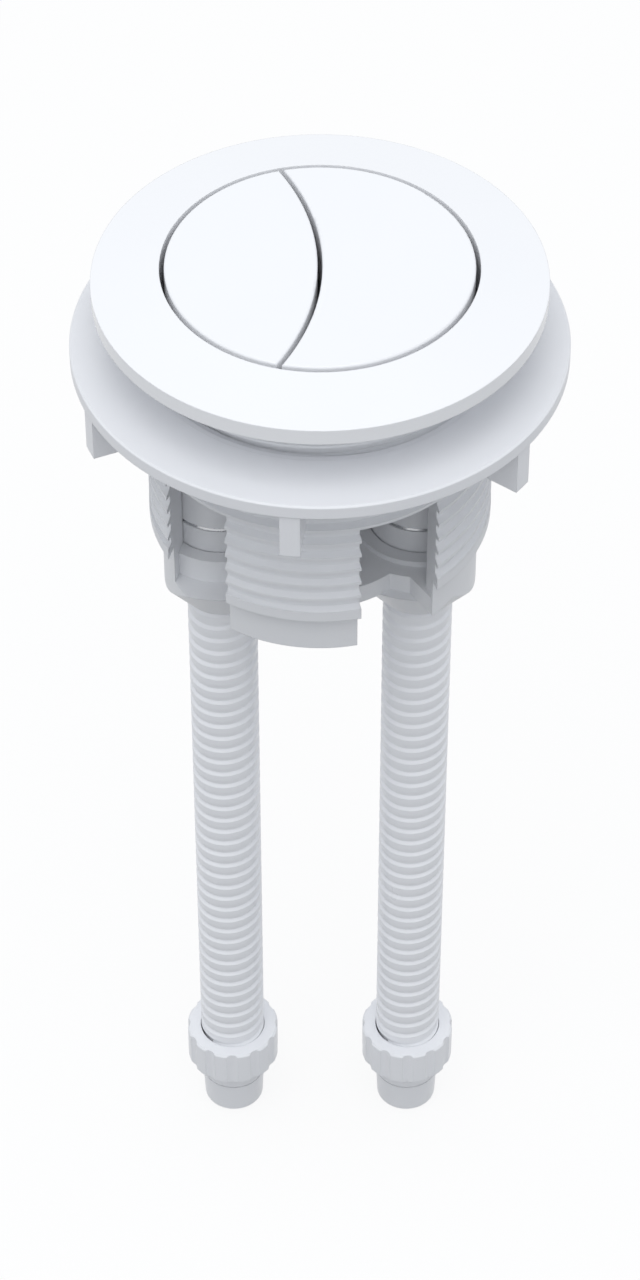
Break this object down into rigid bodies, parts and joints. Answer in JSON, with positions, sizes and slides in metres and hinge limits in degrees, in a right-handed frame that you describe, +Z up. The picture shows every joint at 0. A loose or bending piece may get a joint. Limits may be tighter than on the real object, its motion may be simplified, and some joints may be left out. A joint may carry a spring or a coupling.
{
  "type": "push button cistern actuator",
  "caption": "Round dual push button for a cistern lid: domed bezel, split buttons, threaded housing with side windows, back nut, and long threaded rods with grip nuts that press the flush valve.",
  "frame": {"origin": "on the housing's axis, in the plane of the lid's top, where the bezel's rim stands", "axes": "+Z up along the housing's axis, out of the cistern; +X from the small button's rod to the large button's rod"},
  "size_m": [0.0796, 0.0796, 0.2053],
  "materials": {
    "gloss_white": "polished white plastic",
    "white_plastic": "satin white plastic",
    "spring_steel": "bright spring steel"
  },
  "bodies": {
    "housing_body": {"bezel": "gloss_white", "housing": "white_plastic", "guide_insert": "white_plastic", "small_spring": "spring_steel", "large_spring": "spring_steel"},
    "nut_body": {"back_nut": "white_plastic"},
    "small_pusher": {"small_button": "gloss_white", "small_plunger": "white_plastic", "small_rod_collar": "white_plastic", "small_clip": "spring_steel"},
    "small_tip": {"small_foot": "white_plastic"},
    "small_screw": {"small_rod": "white_plastic", "small_grip_nut": "white_plastic"},
    "large_pusher": {"large_button": "gloss_white", "large_plunger": "white_plastic", "large_rod_collar": "white_plastic", "large_clip": "spring_steel"},
    "large_tip": {"large_foot": "white_plastic"},
    "large_screw": {"large_rod": "white_plastic", "large_grip_nut": "white_plastic"}
  },
  "joints": [
    {"name": "nut_travel", "type": "slide", "parent": "housing_body", "child": "nut_body", "axis": [0, 0, 1], "range_m": [-0.03, 0.009]},
    {"name": "small_press", "type": "slide", "parent": "housing_body", "child": "small_pusher", "axis": [0, 0, 1], "range_m": [-0.0044, 0], "stiffness_N_per_m": 500, "springref_m": 0.003, "deforming": ["small_spring"]},
    {"name": "small_adjust", "type": "slide", "parent": "small_pusher", "child": "small_tip", "axis": [0, 0, 1], "range_m": [-0.006, 0.012]},
    {"name": "small_turn", "type": "hinge", "parent": "small_tip", "child": "small_screw", "pos_m": [-0.0165, 0, -0.19], "axis": [0, 0, 1], "range_deg": [-720, 1440]},
    {"name": "large_press", "type": "slide", "parent": "housing_body", "child": "large_pusher", "axis": [0, 0, 1], "range_m": [-0.0044, 0], "stiffness_N_per_m": 500, "springref_m": 0.003, "deforming": ["large_spring"]},
    {"name": "large_adjust", "type": "slide", "parent": "large_pusher", "child": "large_tip", "axis": [0, 0, 1], "range_m": [-0.006, 0.012]},
    {"name": "large_turn", "type": "hinge", "parent": "large_tip", "child": "large_screw", "pos_m": [0.0165, 0, -0.19], "axis": [0, 0, 1], "range_deg": [-720, 1440]}
  ],
  "couplings": [
    {"joint": "small_turn", "follows": "small_adjust", "rad_per_m": 2094.4},
    {"joint": "large_turn", "follows": "large_adjust", "rad_per_m": 2094.4}
  ]
}
